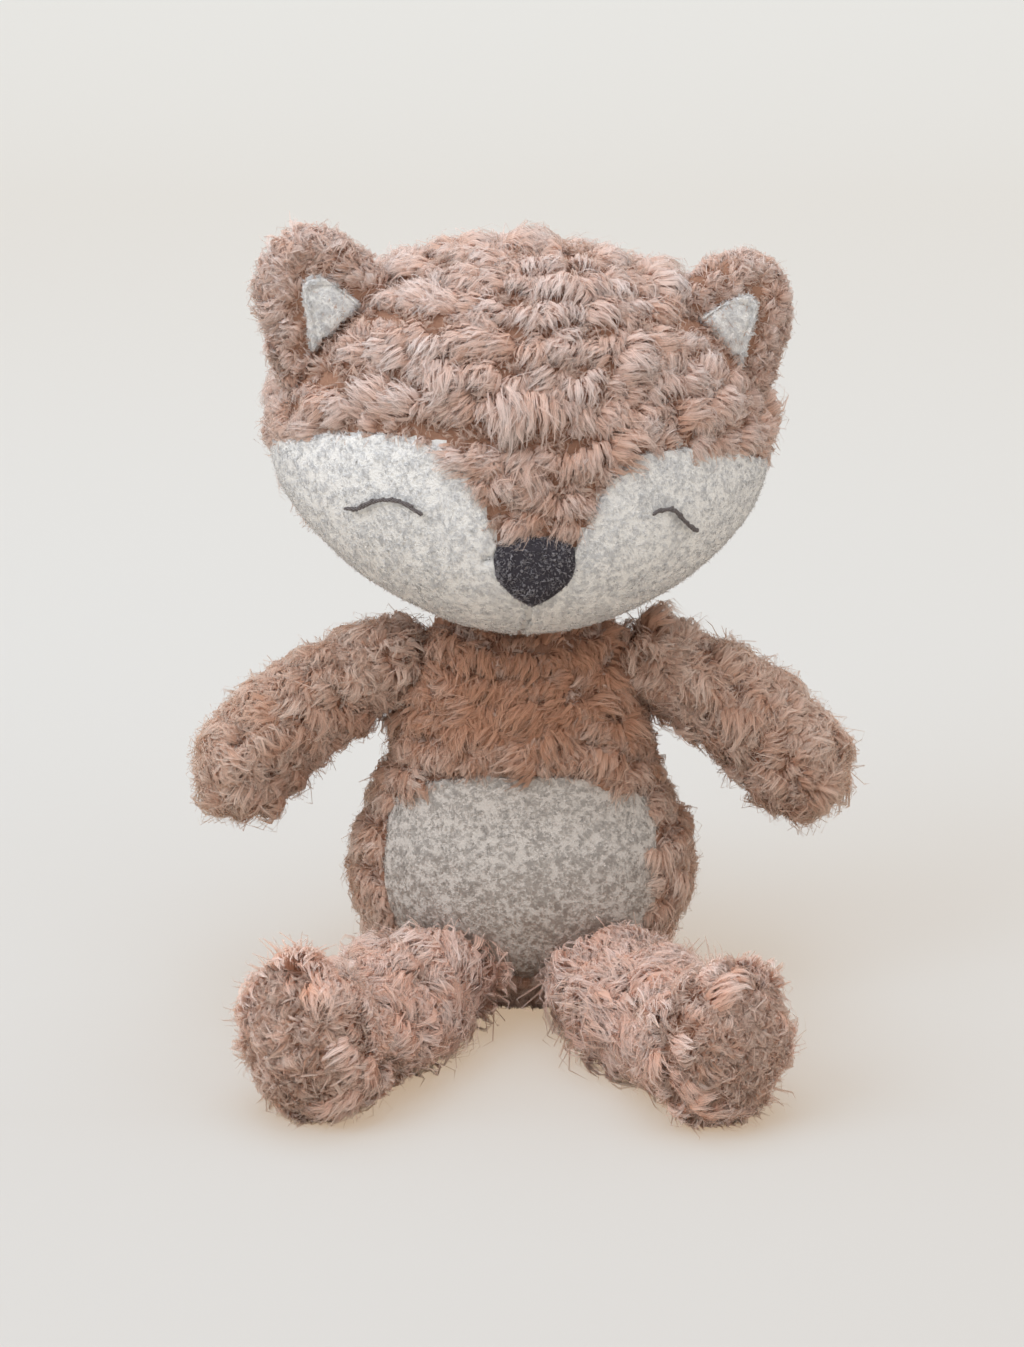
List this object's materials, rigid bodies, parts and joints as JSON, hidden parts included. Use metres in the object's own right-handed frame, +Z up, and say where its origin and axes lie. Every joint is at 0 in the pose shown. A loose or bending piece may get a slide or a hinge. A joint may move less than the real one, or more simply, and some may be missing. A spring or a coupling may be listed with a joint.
{
  "type": "plush fox",
  "caption": "Sitting stuffed fox with a wide white-cheeked face, closed stitched eyes, a white belly, soft limbs and a tail, jointed at its seams.",
  "frame": {"origin": "middle of the flat seat of the torso, on the surface that the toy sits on", "axes": "+Z up, the face looks along -Y, the toy's left side is at +X"},
  "size_m": [0.2046, 0.2353, 0.2533],
  "materials": {
    "brown_plush": "matte",
    "white_fleece": "matte",
    "charcoal_boucle": "matte",
    "eye_thread": "satin",
    "fibre_stuffing": "matte",
    "pellet_cloth": "matte"
  },
  "bodies": {
    "torso": {"torso_cover": "brown_plush", "belly_panel": "white_fleece", "torso_filling": "fibre_stuffing", "pellet_bag": "pellet_cloth"},
    "neck": {"neck_filling": "fibre_stuffing"},
    "head": {"head_cover": "brown_plush", "cheek_panel_left": "white_fleece", "cheek_panel_right": "white_fleece", "head_filling": "fibre_stuffing", "nose_pad": "charcoal_boucle", "eye_stitch_left": "eye_thread", "eye_stitch_right": "eye_thread", "ear_cover_left": "brown_plush", "ear_cover_right": "brown_plush", "ear_lining_left": "white_fleece", "ear_lining_right": "white_fleece"},
    "arm_left": {"arm_cover_left": "brown_plush", "arm_filling_left": "fibre_stuffing"},
    "arm_right": {"arm_cover_right": "brown_plush", "arm_filling_right": "fibre_stuffing"},
    "leg_left": {"leg_cover_left": "brown_plush", "sole_panel_left": "brown_plush", "leg_filling_left": "fibre_stuffing"},
    "leg_right": {"leg_cover_right": "brown_plush", "sole_panel_right": "brown_plush", "leg_filling_right": "fibre_stuffing"},
    "tail": {"tail_cover": "brown_plush", "tail_tip": "white_fleece", "tail_filling": "fibre_stuffing"}
  },
  "joints": [
    {"name": "head_turn", "type": "hinge", "parent": "torso", "child": "neck", "pos_m": [0, 0, 0.1285], "axis": [0, 0, 1], "range_deg": [-35, 35], "stiffness_Nm_per_rad": 0.2},
    {"name": "head_nod", "type": "hinge", "parent": "neck", "child": "head", "pos_m": [0, 0, 0.1285], "axis": [1, 0, 0], "range_deg": [-12, 15], "stiffness_Nm_per_rad": 0.8},
    {"name": "shoulder_left", "type": "hinge", "parent": "torso", "child": "arm_left", "pos_m": [0.04196, 0, 0.112], "axis": [0, -1, 0], "range_deg": [-8, 45], "stiffness_Nm_per_rad": 0.1},
    {"name": "shoulder_right", "type": "hinge", "parent": "torso", "child": "arm_right", "pos_m": [-0.04196, 0, 0.112], "axis": [0, 1, 0], "range_deg": [-8, 45], "stiffness_Nm_per_rad": 0.1},
    {"name": "hip_left", "type": "hinge", "parent": "torso", "child": "leg_left", "pos_m": [0.02944, -0.03921, 0.01725], "axis": [-0.9063, -0.4226, 0], "range_deg": [-20, 35], "stiffness_Nm_per_rad": 0.15},
    {"name": "hip_right", "type": "hinge", "parent": "torso", "child": "leg_right", "pos_m": [-0.02993, -0.03896, 0.01725], "axis": [-0.8829, 0.4695, 0], "range_deg": [-20, 35], "stiffness_Nm_per_rad": 0.15},
    {"name": "tail_swing", "type": "hinge", "parent": "torso", "child": "tail", "pos_m": [0, 0.03991, 0.019], "axis": [0, 0, 1], "range_deg": [-30, 30], "stiffness_Nm_per_rad": 0.05}
  ]
}
